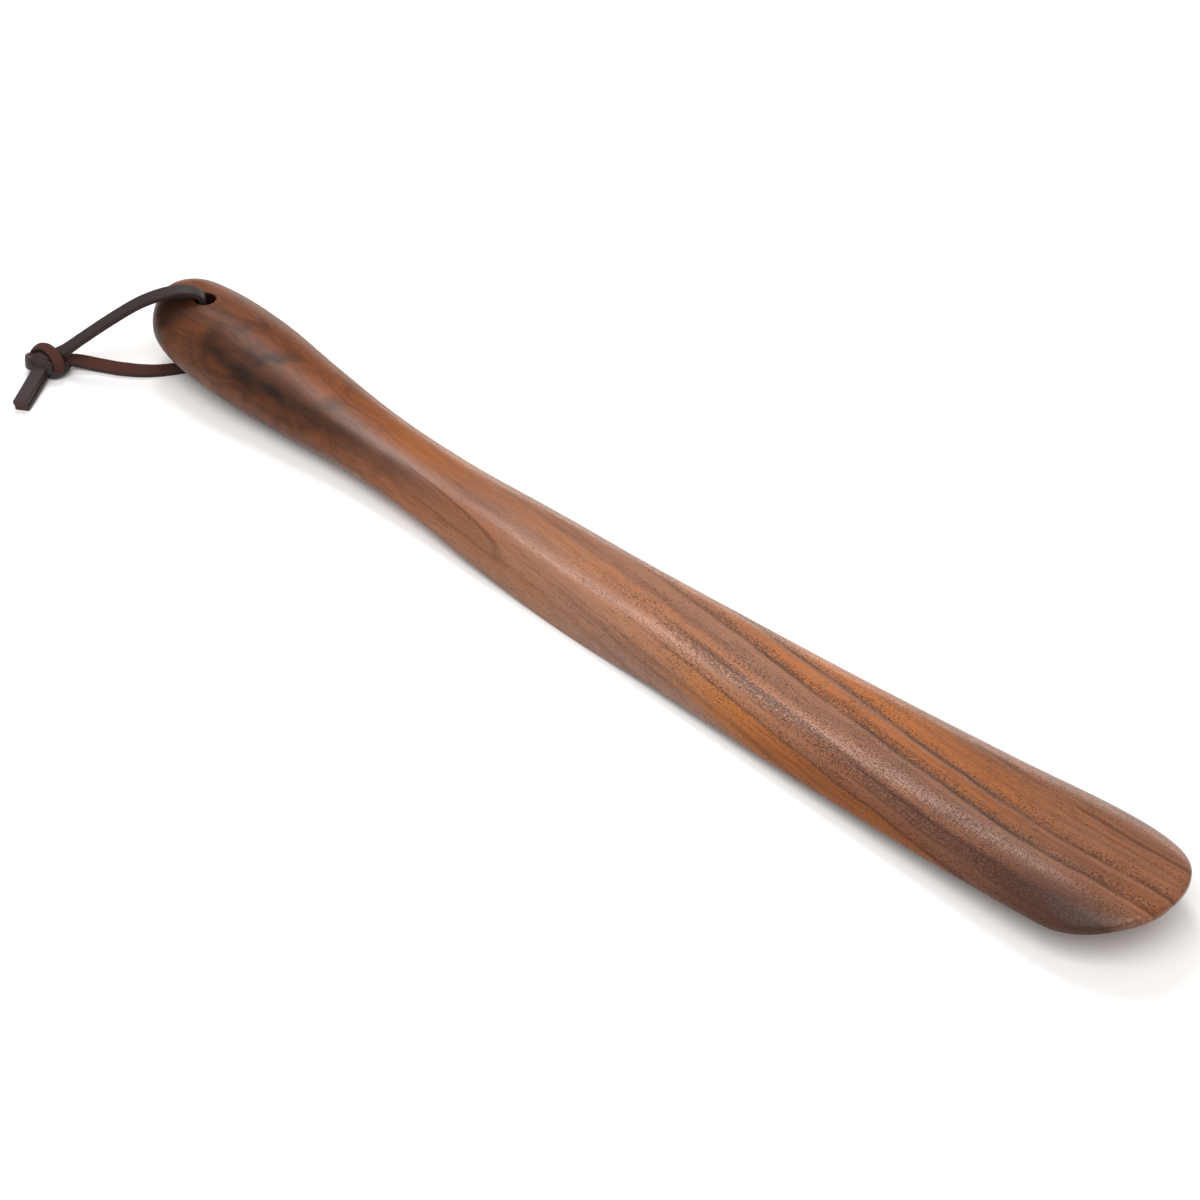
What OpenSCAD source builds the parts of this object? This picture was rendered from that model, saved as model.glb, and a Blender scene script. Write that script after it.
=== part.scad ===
// Long shoehorn: one carved walnut body with a leather hanging lace through its handle.
// Millimetres. +X runs from the handle end to the blade tip, +Z is up, and the body rests
// on Z = 0 with the rounded back of the blade upwards. The body is symmetric about Y = 0,
// and X = 0 is half way along it.

/* [Body] */
// Length of the wooden body, handle end to blade tip
body_length = 385; // [300:5:600]
// Widest part of the rounded handle
handle_w = 35.6; // [28:0.4:42]
// Height of the handle at its fattest
handle_h = 23; // [18:0.5:30]
// Width at the narrowest part of the neck
neck_w = 26.8; // [20:0.4:32]
// Height of the neck
neck_h = 12.6; // [10:0.2:20]
// Widest part of the blade, near the tip
blade_w = 45.4; // [36:0.2:56]
// Thickness of the blade at three quarters of the length
blade_t = 5.2; // [4:0.2:9]
// Thickness of the tip just before its edge is rounded
tip_t = 4.1; // [2.4:0.1:6]
// How far the long edges of the blade drop below its middle
blade_arch = 6.8; // [4:0.2:12]
// Length of the rounded handle end
handle_round = 11; // [8:1:20]
// Length of the rounded tip
tip_round = 24; // [16:1:34]
// Length over which the thickness of the tip rounds off
tip_edge = 3; // [1:0.5:5]

/* [Hanging hole] */
// Diameter of the hole through the handle
hole_d = 6.5; // [6:0.5:10]
// Distance of the hole from the handle end
hole_x = 19.5; // [16:0.5:40]

/* [Lace] */
// Width of the flat leather lace
lace_w = 4.5; // [3:0.5:6]
// Thickness of the lace
lace_t = 1.8; // [1:0.1:2.4]
// Direction in which the lace is drawn out of the hole, seen from above
lace_turn = 226; // [140:1:260]

/* [Hidden] */
walnut = "#8a5a3c";
leather = "#3a2620";

side_points = 40;
arch_power = 4;

// Sections along the body: share of the length, width, height of the middle, thickness,
// drop of the long edges, squareness of the upper half, squareness of the lower half.
sections = [
  [0.00, 0.55 * handle_w, 17.1, 0.93 * handle_h, 0.0, 2.0, 2.0],
  [0.04, 0.91 * handle_w, 14.9, 0.98 * handle_h, 0.0, 2.0, 2.0],
  [0.10, 1.00 * handle_w, 12.6, 1.00 * handle_h, 0.0, 2.0, 2.0],
  [0.17, 0.88 * handle_w, 9.9, 0.85 * handle_h, 0.0, 2.1, 2.0],
  [0.25, 1.00 * neck_w, 8.0, 1.14 * neck_h, 0.0, 2.2, 2.0],
  [0.33, 1.03 * neck_w, 7.1, 1.01 * neck_h, 0.15 * blade_arch, 2.1, 1.8],
  [0.41, 0.695 * blade_w, 7.1, 2.50 * blade_t, 0.54 * blade_arch, 2.4, 1.9],
  [0.50, 0.75 * blade_w, 7.2, 2.27 * blade_t, 0.87 * blade_arch, 3.6, 2.3],
  [0.60, 0.81 * blade_w, 9.4, 1.50 * blade_t, 0.92 * blade_arch, 3.7, 2.7],
  [0.72, 0.895 * blade_w, 11.5, 1.00 * blade_t, 0.99 * blade_arch, 3.6, 3.1],
  [0.84, 0.97 * blade_w, 13.8, 1.07 * tip_t, 0.98 * blade_arch, 3.5, 3.3],
  [0.94, 1.00 * blade_w, 15.8, 1.12 * tip_t, 0.86 * blade_arch, 3.6, 3.4],
  [1.00, 0.91 * blade_w, 15.8, 1.00 * tip_t, 0.84 * blade_arch, 3.6, 3.4]
];
last_section = len(sections) - 1;

// Distances of the rings from the handle end, closer together at both rounded ends.
ring_x = concat(
  [for (i = [0 : 15]) handle_round * (1 - cos(4 + i * 86 / 15))],
  [for (i = [1 : 58]) handle_round + i * (body_length - handle_round - tip_round) / 59],
  [for (i = [0 : 18]) body_length - tip_round * (1 - sin(i * 87.5 / 18))]
);
ring_count = len(ring_x);

// Slope of one column of the sections at station i.
function rise(k, i) =
  (sections[i + 1][k] - sections[i][k]) / (sections[i + 1][0] - sections[i][0]);
function slope(k, i) =
  i == 0 ? rise(k, 0)
  : i == last_section ? rise(k, last_section - 1)
  : (rise(k, i - 1) + rise(k, i)) / 2;

// Station below a share s of the length, and a smooth value of column k at s.
function below(s) = min(last_section - 1, max([for (i = [0 : last_section]) sections[i][0] <= s ? i : 0]));
function smooth(k, s) =
  let (
    i = below(s),
    span = sections[i + 1][0] - sections[i][0],
    t = (s - sections[i][0]) / span
  )
  (2 * t ^ 3 - 3 * t ^ 2 + 1) * sections[i][k]
  + (t ^ 3 - 2 * t ^ 2 + t) * span * slope(k, i)
  + (3 * t ^ 2 - 2 * t ^ 3) * sections[i + 1][k]
  + (t ^ 3 - t ^ 2) * span * slope(k, i + 1);

// Share of the full width and thickness left at distance x, less than 1 at the rounded ends.
function width_share(x) =
  x < handle_round ? (1 - ((handle_round - x) / handle_round) ^ 2.2) ^ (1 / 2.2)
  : x > body_length - tip_round
    ? (1 - ((x - body_length + tip_round) / tip_round) ^ 2.3) ^ (1 / 2.3)
  : 1;
function thickness_share(x) =
  x < handle_round ? sqrt(1 - ((handle_round - x) / handle_round) ^ 2)
  : x > body_length - tip_edge ? sqrt(1 - ((x - body_length + tip_edge) / tip_edge) ^ 2)
  : 1;

function raw_ring(x) =
  let (
    s = x / body_length,
    half_w = smooth(1, s) / 2,
    mid_z = smooth(2, s),
    half_t = smooth(3, s) / 2 * thickness_share(x),
    drop = smooth(4, s),
    upper = 2 / smooth(5, s),
    lower = 2 / smooth(6, s)
  )
  [for (i = [0 : side_points - 1])
    let (
      a = 360 * i / side_points,
      e = i <= side_points / 2 ? upper : lower,
      across = width_share(x) * sign(cos(a)) * abs(cos(a)) ^ e
    )
    [
      x - body_length / 2,
      half_w * across,
      mid_z - drop * abs(across) ^ arch_power + half_t * sign(sin(a)) * abs(sin(a)) ^ e
    ]
  ];

raw_points = concat(
  [for (x = ring_x) each raw_ring(x)],
  [
    [-body_length / 2, 0, sections[0][2]],
    [body_length / 2, 0, sections[last_section][2]]
  ]
);
lowest = min([for (p = raw_points) p[2]]);
body_points = [for (p = raw_points) p - [0, 0, lowest]];
handle_point = ring_count * side_points;
tip_point = handle_point + 1;

// Triangles between neighbouring rings of n points, r rings in all.
function skin(r, n) =
  [for (j = [0 : r - 2], i = [0 : n - 1], k = [0, 1])
    let (
      p = j * n + i,
      q = j * n + (i + 1) % n
    )
    k == 0 ? [p, p + n, q] : [q, p + n, q + n]
  ];

body_faces = concat(
  skin(ring_count, side_points),
  [for (i = [0 : side_points - 1]) [handle_point, i, (i + 1) % side_points]],
  [for (i = [0 : side_points - 1])
    [
      tip_point,
      (ring_count - 1) * side_points + (i + 1) % side_points,
      (ring_count - 1) * side_points + i
    ]
  ]
);

// Lace routes. Each point: distance out from the hole, distance to the side, height of
// the lace middle, and the turn of the flat side about the vertical.
loop_route = [
  [53.0, 1.6, 5.2, 20],
  [47.0, 1.2, 7.4, 10],
  [40.5, 0.8, 11.8, 0],
  [31.5, 0.2, 17.8, 0],
  [21.5, 0.0, 24.0, 0],
  [13.5, 0.0, 27.3, 0],
  [7.5, 0.0, 28.5, 0],
  [3.5, 0.0, 28.0, 0],
  [1.1, 0.0, 26.2, 0],
  [0.7, 0.0, 21.6, 0],
  [0.7, 0.0, 13.0, 0],
  [0.7, 0.0, 5.8, 0],
  [1.1, 0.0, 2.75, 0],
  [3.6, 0.4, 1.1, 6],
  [9.0, 2.2, 1.0, 14],
  [18.0, 4.0, 1.0, 6],
  [27.0, 3.6, 1.0, -8],
  [36.0, 1.0, 1.6, -14],
  [43.0, -0.2, 2.8, -6],
  [48.0, 0.6, 3.6, 6],
  [53.0, 1.8, 3.6, 20]
];
upper_tail_route = [
  [53.6, 4.0, 4.2, 82],
  [54.6, 9.0, 4.0, 82],
  [55.8, 14.0, 3.6, 80],
  [57.0, 19.0, 3.2, 78],
  [58.0, 23.5, 3.0, 78]
];
lower_tail_route = [
  [53.4, 4.0, 2.4, 84],
  [54.3, 9.0, 2.0, 82],
  [55.5, 14.0, 1.5, 80],
  [56.7, 19.0, 1.1, 78],
  [57.7, 23.3, 1.0, 78]
];
knot_middle = [52.6, 2.0, 4.8];
wrap_route = [for (i = [0 : 23])
  knot_middle + [
    1.4 * sin(i * 15) + 0.8 * cos(i * 15),
    4.9 * cos(i * 15),
    3.6 * sin(i * 15)
  ]
];

lace_corner = 0.4;
function strip_section(w, t) = [
  [w / 2, t / 2 - lace_corner],
  [w / 2 - lace_corner, t / 2],
  [lace_corner - w / 2, t / 2],
  [-w / 2, t / 2 - lace_corner],
  [-w / 2, lace_corner - t / 2],
  [lace_corner - w / 2, -t / 2],
  [w / 2 - lace_corner, -t / 2],
  [w / 2, lace_corner - t / 2]
];

function unit(v) = v / norm(v);
function at(route, i) = route[max(0, min(len(route) - 1, i))];
function along(route, i, t) =
  let (
    a = at(route, i - 1),
    b = at(route, i),
    c = at(route, i + 1),
    d = at(route, i + 2)
  )
  (2 * b + (c - a) * t + (2 * a - 5 * b + 4 * c - d) * t ^ 2 + (3 * b - a - 3 * c + d) * t ^ 3) / 2;

// Points along a route with a number of steps between each two of its points.
function traced(route, steps) = concat(
  [for (i = [0 : len(route) - 2], k = [0 : steps - 1]) along(route, i, k / steps)],
  [route[len(route) - 1]]
);

function place(p) = [p[0], p[1], p[2]];
function strip_ring(path, i, w, t) =
  let (
    last = len(path) - 1,
    ahead = unit(place(path[min(last, i + 1)]) - place(path[max(0, i - 1)])),
    flat = [-sin(path[i][3]), cos(path[i][3]), 0],
    side = unit(flat - (flat * ahead) * ahead),
    up = cross(ahead, side)
  )
  [for (q = strip_section(w, t)) place(path[i]) + q[0] * side + q[1] * up];

module strip(route, steps, w = lace_w, t = lace_t) {
  path = traced(route, steps);
  rings = len(path);
  polyhedron(
    points = [for (i = [0 : rings - 1]) each strip_ring(path, i, w, t)],
    faces = concat(
      skin(rings, 8),
      [[for (i = [0 : 7]) i], [for (i = [7 : -1 : 0]) (rings - 1) * 8 + i]]
    ),
    convexity = 10
  );
}

// Closed band through a ring of points, its flat side turned along the lace.
module band(route, w, t) {
  n = len(route);
  polyhedron(
    points = [for (i = [0 : n - 1])
      let (
        ahead = unit(place(route[(i + 1) % n]) - place(route[(i + n - 1) % n])),
        flat = [1, 0, 0],
        side = unit(flat - (flat * ahead) * ahead),
        up = cross(ahead, side)
      )
      each [for (q = strip_section(w, t)) place(route[i]) + q[0] * side + q[1] * up]
    ],
    faces = [for (f = skin(n + 1, 8)) [for (k = f) k % (8 * n)]],
    convexity = 10
  );
}

// Squarish bead of half sizes r about point c.
function bulge(v) = sign(v) * abs(v) ^ 0.8;
module bead(c, r, turn) {
  rings = 12;
  n = 16;
  translate(c)
    rotate([0, 0, turn])
      polyhedron(
        points = concat(
          [for (j = [1 : rings - 1], i = [0 : n - 1])
            let (
              b = 180 * j / rings,
              a = 360 * i / n
            )
            [
              -r[0] * bulge(cos(b)),
              r[1] * bulge(sin(b)) * bulge(cos(a)),
              r[2] * bulge(sin(b)) * bulge(sin(a))
            ]
          ],
          [[-r[0], 0, 0], [r[0], 0, 0]]
        ),
        faces = concat(
          skin(rings - 1, n),
          [for (i = [0 : n - 1]) [(rings - 1) * n, i, (i + 1) % n]],
          [for (i = [0 : n - 1])
            [(rings - 1) * n + 1, (rings - 2) * n + (i + 1) % n, (rings - 2) * n + i]
          ]
        ),
        convexity = 4
      );
}

// Places a lace piece: out from the hole and turned to the side it is drawn to.
module from_hole() {
  translate([hole_x - body_length / 2, 0, 0])
    rotate([0, 0, lace_turn])
      children();
}

// Handle, neck and blade carved from one piece, with the hanging hole drilled through.
module walnut_body() {
  color(walnut)
    difference() {
      polyhedron(points = body_points, faces = body_faces, convexity = 8);
      translate([hole_x - body_length / 2, 0, -5])
        cylinder(h = handle_h + 20, d = hole_d, $fn = 64);
    }
}

// Lace from the knot over the handle end, down through the hole and back to the knot.
module lace_loop() {
  color(leather)
    from_hole()
      strip(loop_route, 3);
}

// Tight middle of the overhand knot.
module lace_knot_core() {
  color(leather)
    from_hole()
      bead(knot_middle, [6.2, 3.9, 3.4], 20);
}

// Turn of the lace that wraps round the knot.
module lace_knot_wrap() {
  color(leather)
    from_hole()
      band(wrap_route, 4.4, 1.6);
}

module lace_tail_upper() {
  color(leather)
    from_hole()
      strip(upper_tail_route, 3);
}

module lace_tail_lower() {
  color(leather)
    from_hole()
      strip(lower_tail_route, 3);
}

walnut_body();
lace_loop();
lace_knot_core();
lace_knot_wrap();
lace_tail_upper();
lace_tail_lower();
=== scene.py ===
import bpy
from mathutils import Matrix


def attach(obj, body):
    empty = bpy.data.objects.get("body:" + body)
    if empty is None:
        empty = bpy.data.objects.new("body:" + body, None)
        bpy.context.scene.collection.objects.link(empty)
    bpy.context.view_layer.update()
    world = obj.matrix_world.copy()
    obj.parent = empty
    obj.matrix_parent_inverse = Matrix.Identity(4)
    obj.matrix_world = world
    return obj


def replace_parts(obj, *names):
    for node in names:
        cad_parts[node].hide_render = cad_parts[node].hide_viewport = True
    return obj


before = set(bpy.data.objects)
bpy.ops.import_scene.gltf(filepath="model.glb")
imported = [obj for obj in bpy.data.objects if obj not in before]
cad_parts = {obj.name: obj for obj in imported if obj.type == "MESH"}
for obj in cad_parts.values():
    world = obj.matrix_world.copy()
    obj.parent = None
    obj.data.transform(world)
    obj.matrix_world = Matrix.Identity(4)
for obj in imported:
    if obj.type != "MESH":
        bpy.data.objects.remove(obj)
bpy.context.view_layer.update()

from functools import reduce
from math import cos, pi, radians, sin

import bpy
import numpy as np
from mathutils import Vector

# Long shoehorn: a carved walnut body and a flat leather lace tied through its handle.
# Lengths in the tables are millimetres, and become metres in the meshes.
MM = 0.001
LENGTH = 385.0
HOLE_X = 19.5  # axis of the hole, from the handle end
scene = bpy.context.scene


# ---------------------------------------------------------------- camera

# The photograph's view, fitted to the outline of the object: height and turn in degrees,
# distance from the origin in metres, lens and sensor in millimetres.
CAMERA_HIGH, CAMERA_ROUND, CAMERA_FAR = 39.159, 44.128, 0.70902
CAMERA_LENS, CAMERA_SENSOR, CAMERA_SHIFT = 74.6, 36, (0.00187, 0.00134)


def add_camera():
    high, round_ = radians(CAMERA_HIGH), radians(CAMERA_ROUND)
    back = Vector((sin(round_) * cos(high), -cos(round_) * cos(high), sin(high)))
    data = bpy.data.cameras.new("camera")
    data.sensor_width = CAMERA_SENSOR
    data.lens = CAMERA_LENS
    data.shift_x, data.shift_y = CAMERA_SHIFT
    camera = bpy.data.objects.new("camera", data)
    camera.location = back * CAMERA_FAR
    camera.rotation_euler = (-back).to_track_quat("-Z", "Y").to_euler()
    scene.collection.objects.link(camera)
    scene.camera = camera


add_camera()


# ---------------------------------------------------------------- mesh helpers

def mesh_object(name, points, faces, smooth=True, **values):
    """values are per-point attributes that the materials read."""
    mesh = bpy.data.meshes.new(name)
    mesh.from_pydata([tuple(p) for p in np.asarray(points) * MM], [], faces)
    mesh.validate()
    for key, column in values.items():
        attribute = mesh.attributes.new(key, "FLOAT", "POINT")
        attribute.data.foreach_set("value", np.asarray(column, dtype=np.float32))
    mesh.polygons.foreach_set("use_smooth", [smooth] * len(mesh.polygons))
    obj = bpy.data.objects.new(name, mesh)
    scene.collection.objects.link(obj)
    return obj


def unit(v):
    return v / np.maximum(np.linalg.norm(v, axis=-1, keepdims=True), 1e-9)


def traced(route, steps):
    """Catmull-Rom points along a route, as in the CAD."""
    r = np.asarray(route, float)

    def pick(i):
        return r[np.clip(i, 0, len(r) - 1)]

    i = np.repeat(np.arange(len(r) - 1), steps)
    t = np.tile(np.arange(steps) / steps, len(r) - 1)[:, None]
    a, b, c, d = pick(i - 1), pick(i), pick(i + 1), pick(i + 2)
    out = (2 * b + (c - a) * t + (2 * a - 5 * b + 4 * c - d) * t**2
           + (3 * b - a - 3 * c + d) * t**3) / 2
    return np.vstack([out, r[-1:]])


# ---------------------------------------------------------------- lace

HOLE = np.array([HOLE_X - LENGTH / 2, 0.0, 0.0])
TURN = radians(226)  # which way the lace leaves the handle
LACE_W, LACE_T, LACE_CORNER = 4.5, 1.8, 0.42
TAIL_W = 4.7  # the free ends spread slightly
ON_TABLE = 0.03  # the lowest that any lace lies
ROUTE_STEPS = 10  # points from one entry of a route to the next


def from_hole(p):
    """Lace points (out, sideways, up) to the row frame, in mm."""
    p = np.asarray(p, float)
    u, v, z = p[..., 0], p[..., 1], p[..., 2]
    return np.stack([
        HOLE[0] + u * cos(TURN) - v * sin(TURN),
        HOLE[1] + u * sin(TURN) + v * cos(TURN),
        z,
    ], -1)


def strip_profile(corner_steps=5, flat_steps=8):
    """Rounded rectangle of width and height 1, anticlockwise, and what each point belongs to:
    1 the upper flat side, -1 the lower one, 0 the middle of an edge."""
    rx, ry = LACE_CORNER / LACE_W, LACE_CORNER / LACE_T
    points, side = [], []
    for sx, sy, start in ((1, 1, 0), (-1, 1, 90), (-1, -1, 180), (1, -1, 270)):
        for k in range(corner_steps + 1):
            a = radians(start + 90 * k / corner_steps)
            points.append((sx * (0.5 - rx) + rx * cos(a), sy * (0.5 - ry) + ry * sin(a)))
            side.append(sin(a))
        if start in (0, 180):
            for k in range(1, flat_steps):
                points.append((sx * (0.5 - rx) * (1 - 2 * k / flat_steps), sy * 0.5))
                side.append(sy)
        else:
            points.append((sx * 0.5, 0.0))
            side.append(0.0)
    return np.array(points), np.array(side)


PROFILE, PROFILE_SIDE = strip_profile()


def strip_frame(centre, flat, roll):
    """Directions across and up from a strip at each point of its centre line."""
    ahead = np.zeros_like(centre)
    ahead[1:-1] = centre[2:] - centre[:-2]
    ahead[0], ahead[-1] = centre[1] - centre[0], centre[-1] - centre[-2]
    ahead = unit(ahead)
    flat = np.broadcast_to(flat, centre.shape)
    side = unit(flat - (flat * ahead).sum(1, keepdims=True) * ahead)
    up = np.cross(ahead, side)
    tip = np.radians(np.broadcast_to(roll, len(centre)))[:, None]
    return side * np.cos(tip) - up * np.sin(tip), up * np.cos(tip) + side * np.sin(tip)


def strip(name, centre, flat, width=LACE_W, thick=LACE_T, crown=0.06, roll=0.0, turned=False):
    """A strip of lace along centre, its width along flat. crown bulges both flat sides,
    roll tips it about its own line, and turned puts the flesh side on top."""
    n, m = len(centre), len(PROFILE)
    centre = np.asarray(centre, float)
    side, up = strip_frame(centre, flat, roll)
    px, py = PROFILE[:, 0][None, :, None], PROFILE[:, 1][None, :, None]
    on_flat = np.abs(py) > 0.3
    bulge = np.sign(py) * crown * (1 - (2 * px) ** 2) * on_flat
    rings = centre[:, None] + px * width * side[:, None] + (py * thick + bulge) * up[:, None]
    rings[..., 2] = np.maximum(rings[..., 2], ON_TABLE)
    points = rings.reshape(-1, 3)
    faces = [
        (i * m + j, i * m + (j + 1) % m, (i + 1) * m + (j + 1) % m, (i + 1) * m + j)
        for i in range(n - 1) for j in range(m)
    ]
    along = np.concatenate([[0], np.cumsum(np.linalg.norm(np.diff(centre, axis=0), axis=1))])
    # The last rows are the cut ends: the end rings again, with points of their own so that
    # their edges stay sharp.
    faces.append(tuple(n * m + j for j in range(m - 1, -1, -1)))
    faces.append(tuple(n * m + m + j for j in range(m)))
    values = dict(
        along=np.repeat(np.append(along, along[[0, -1]]), m),
        across=np.tile(PROFILE[:, 0] * LACE_W, n + 2),
        side=np.append(np.tile(PROFILE_SIDE, n) * (-1 if turned else 1), np.zeros(2 * m)),
        cut=np.repeat([0.0, 1.0], [n * m, 2 * m]),
    )
    return mesh_object(name, np.vstack([points, points[:m], points[-m:]]), faces, **values)


# Routes of the lace, as in the CAD: out, sideways and up from the hole in mm, and which way
# its width points, in degrees.
LOOP_ROUTE = [
    [53.0, 1.6, 5.2, 20], [47.0, 1.2, 7.4, 10], [40.5, 0.8, 11.8, 0], [31.5, 0.2, 17.8, 0],
    [21.5, 0.0, 24.0, 0], [13.5, 0.0, 27.3, 0], [7.5, 0.0, 28.5, 0], [3.5, 0.0, 28.0, 0],
    [1.1, 0.0, 26.2, 0], [0.7, 0.0, 21.6, 0], [0.7, 0.0, 13.0, 0], [0.7, 0.0, 5.8, 0],
    [1.1, 0.0, 2.75, 0], [3.6, 0.4, 1.1, 6], [9.0, 2.2, 1.0, 14], [18.0, 4.0, 1.0, 6],
    [27.0, 3.6, 1.0, -8], [36.0, 1.0, 1.6, -14], [43.0, -0.2, 2.8, -6], [48.0, 0.6, 3.6, 6],
    [53.0, 1.8, 3.6, 20],
]
UPPER_TAIL = [
    [53.6, 4.0, 4.2, 82], [54.6, 9.0, 4.0, 82], [55.8, 14.0, 3.6, 80], [57.0, 19.0, 3.2, 78],
    [58.0, 23.5, 3.0, 78],
]
LOWER_TAIL = [
    [53.4, 4.0, 2.4, 84], [54.3, 9.0, 2.0, 82], [55.5, 14.0, 1.5, 80], [56.7, 19.0, 1.1, 78],
    [57.7, 23.3, 1.0, 78],
]


def routed(route):
    """Row-frame centre points and width directions of a lace route."""
    path = traced(route, ROUTE_STEPS)
    angle = np.radians(path[:, 3])
    flat = np.stack([-np.sin(angle), np.cos(angle), np.zeros(len(path))], -1)
    centre = from_hole(path)
    return centre, from_hole(path[:, :3] + flat) - centre


def length_of(centre):
    return float(np.linalg.norm(np.diff(centre, axis=0), axis=1).sum())


def lace_piece(obj):
    obj.data.materials.append(LEATHER)
    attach(obj, "lace")
    return obj


# ---------------------------------------------------------------- material helpers

class Graph:
    """A short way to write node trees: each call adds a node and gives its output."""

    def __init__(self, name):
        self.material = bpy.data.materials.new(name)
        self.material.use_nodes = True
        self.tree = self.material.node_tree
        self.tree.nodes.clear()

    def node(self, kind, out=0, _set=None, **inputs):
        """_set has the node's own settings. inputs are its sockets, by name or as i0, i1 and
        so on, each a number, a colour or another node's output."""
        n = self.tree.nodes.new("ShaderNode" + kind)
        for key, value in (_set or {}).items():
            setattr(n, key, value)
        for key, value in inputs.items():
            by_number = key[0] == "i" and key[1:].isdigit()
            socket = n.inputs[int(key[1:]) if by_number else key.replace("_", " ")]
            if isinstance(value, bpy.types.NodeSocket):
                self.tree.links.new(value, socket)
            else:
                socket.default_value = value
        return n.outputs[out]

    def math(self, operation, a, b=0.0, c=0.0):
        return self.node("Math", _set={"operation": operation}, i0=a, i1=b, i2=c)

    def add(self, a, b):
        return self.math("ADD", a, b)

    def sub(self, a, b):
        return self.math("SUBTRACT", a, b)

    def mul(self, a, b):
        return self.math("MULTIPLY", a, b)

    def mul_add(self, a, b, c):
        return self.math("MULTIPLY_ADD", a, b, c)

    def largest(self, values):
        return reduce(lambda a, b: self.math("MAXIMUM", a, b), values)

    def length(self, a, b):
        return self.math("SQRT", self.add(self.mul(a, a), self.mul(b, b)))

    def xyz(self, x=0.0, y=0.0, z=0.0):
        return self.node("CombineXYZ", X=x, Y=y, Z=z)

    def noise(self, vector, scale=1.0, detail=2.0, rough=0.5, distortion=0.0):
        return self.node("TexNoise", Vector=vector, Scale=scale, Detail=detail, Roughness=rough,
                         Distortion=distortion)

    def field(self, *axes, detail=2.0, rough=0.5, distortion=0.0):
        """Noise over three axes, each a number or a (value, scale) pair."""
        axes = [self.mul(*axis) if isinstance(axis, tuple) else axis for axis in axes]
        return self.noise(self.xyz(*axes), 1.0, detail, rough, distortion)

    def step(self, value, low, high, to_low=0.0, to_high=1.0):
        """Smooth step, to_low where value is low and to_high where it is high."""
        return self.node("MapRange", _set={"interpolation_type": "SMOOTHSTEP"}, i0=value,
                         i1=low, i2=high, i3=to_low, i4=to_high)

    def mix(self, factor, a, b, blend="MIX"):
        n = self.tree.nodes.new("ShaderNodeMix")
        n.data_type = "RGBA"
        n.blend_type = blend
        for socket, value in ((n.inputs[0], factor), (n.inputs[6], a), (n.inputs[7], b)):
            if isinstance(value, bpy.types.NodeSocket):
                self.tree.links.new(value, socket)
            else:
                socket.default_value = value
        return n.outputs[2]

    def between(self, factor, a, b):
        """Mix of two numbers."""
        return self.node("Mix", i0=factor, i2=a, i3=b)

    def curve(self, value, points):
        """Smooth curve through given points."""
        n = self.tree.nodes.new("ShaderNodeFloatCurve")
        curve = n.mapping.curves[0]
        while len(curve.points) < len(points):
            curve.points.new(0.5, 0.5)
        for p, (x, y) in zip(curve.points, points):
            p.location = (x, y)
        n.mapping.update()
        self.tree.links.new(value, n.inputs["Value"])
        return n.outputs[0]

    def bump(self, height, strength, distance, normal=None):
        more = {} if normal is None else {"Normal": normal}
        return self.node("Bump", Height=height, Strength=strength, Distance=distance, **more)

    def finish(self, **inputs):
        shader = self.node("BsdfPrincipled", **inputs)
        out = self.tree.nodes.new("ShaderNodeOutputMaterial")
        self.tree.links.new(shader, out.inputs["Surface"])
        return self.material


def rgb(r, g, b):
    """sRGB 0-255 to a linear colour."""
    return tuple((c / 255 / 12.92) if c <= 10 else ((c / 255 + 0.055) / 1.055) ** 2.4
                 for c in (r, g, b)) + (1.0,)


# ---------------------------------------------------------------- leather

GRAIN_DARK, GRAIN_LIGHT, GRAIN_FINE = rgb(38, 29, 30), rgb(52, 41, 42), rgb(66, 53, 54)
FLESH_DARK, FLESH_LIGHT, FLESH_FIBRE = rgb(46, 25, 20), rgb(68, 37, 30), rgb(92, 55, 44)
EDGE_DARK, EDGE_LIGHT = rgb(28, 18, 19), rgb(58, 34, 31)
CUT_DARK, CUT_LIGHT = rgb(44, 28, 26), rgb(74, 48, 42)
LEATHER_PORE = rgb(30, 22, 24)


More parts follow.
